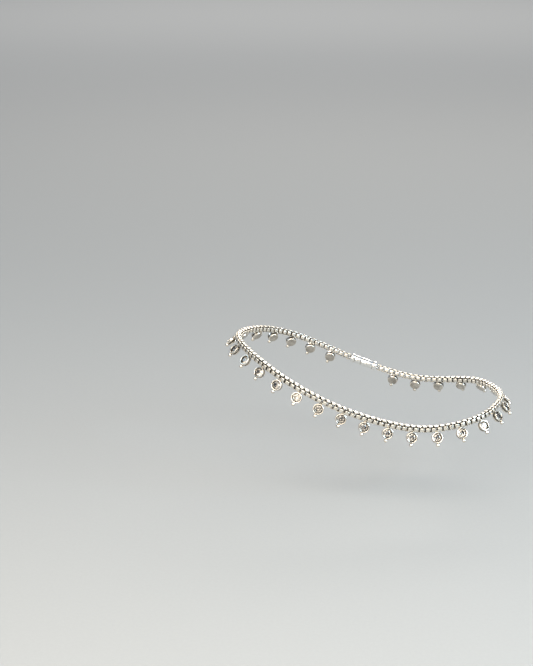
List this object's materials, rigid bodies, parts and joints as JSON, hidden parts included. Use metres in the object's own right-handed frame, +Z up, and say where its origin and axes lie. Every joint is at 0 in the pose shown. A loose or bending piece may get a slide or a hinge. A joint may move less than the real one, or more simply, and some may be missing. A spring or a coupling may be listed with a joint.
{
  "type": "payal anklet",
  "caption": "Worn ankle chain of square box links with round stone-set cups hung along its lower edge, each ending in a small ball, closed by a plain barrel clasp.",
  "frame": {"origin": "where the chain's inner side sits on top of the instep, at the front of the loop", "axes": "+X runs back from the instep to the heel, +Y to the clasp side, +Z up the leg"},
  "size_m": [0.1132, 0.0673, 0.0334],
  "materials": {
    "chain_silver": "bright polished silver, with thin dark seams between the links",
    "cup_silver": "bright polished silver",
    "clasp_silver": "polished silver",
    "clear_stone": "clear, faceted and polished"
  },
  "bodies": {
    "root": {"box_chain": "chain_silver", "clasp": "clasp_silver", "bezel_01": "cup_silver", "bezel_02": "cup_silver", "bezel_03": "cup_silver", "bezel_04": "cup_silver", "bezel_05": "cup_silver", "bezel_06": "cup_silver", "bezel_07": "cup_silver", "bezel_08": "cup_silver", "bezel_09": "cup_silver", "bezel_10": "cup_silver", "bezel_11": "cup_silver", "bezel_12": "cup_silver", "bezel_13": "cup_silver", "bezel_14": "cup_silver", "bezel_15": "cup_silver", "bezel_16": "cup_silver", "bezel_17": "cup_silver", "bezel_18": "cup_silver", "bezel_19": "cup_silver", "bezel_20": "cup_silver", "bezel_21": "cup_silver", "bezel_22": "cup_silver", "bezel_23": "cup_silver", "bezel_24": "cup_silver", "bezel_25": "cup_silver", "bezel_26": "cup_silver", "bezel_27": "cup_silver", "bezel_28": "cup_silver", "bezel_29": "cup_silver", "stone_01": "clear_stone", "stone_02": "clear_stone", "stone_03": "clear_stone", "stone_04": "clear_stone", "stone_05": "clear_stone", "stone_06": "clear_stone", "stone_07": "clear_stone", "stone_08": "clear_stone", "stone_09": "clear_stone", "stone_10": "clear_stone", "stone_11": "clear_stone", "stone_12": "clear_stone", "stone_13": "clear_stone", "stone_14": "clear_stone", "stone_15": "clear_stone", "stone_16": "clear_stone", "stone_17": "clear_stone", "stone_18": "clear_stone", "stone_19": "clear_stone", "stone_20": "clear_stone", "stone_21": "clear_stone", "stone_22": "clear_stone", "stone_23": "clear_stone", "stone_24": "clear_stone", "stone_25": "clear_stone", "stone_26": "clear_stone", "stone_27": "clear_stone", "stone_28": "clear_stone", "stone_29": "clear_stone"}
  },
  "joints": []
}
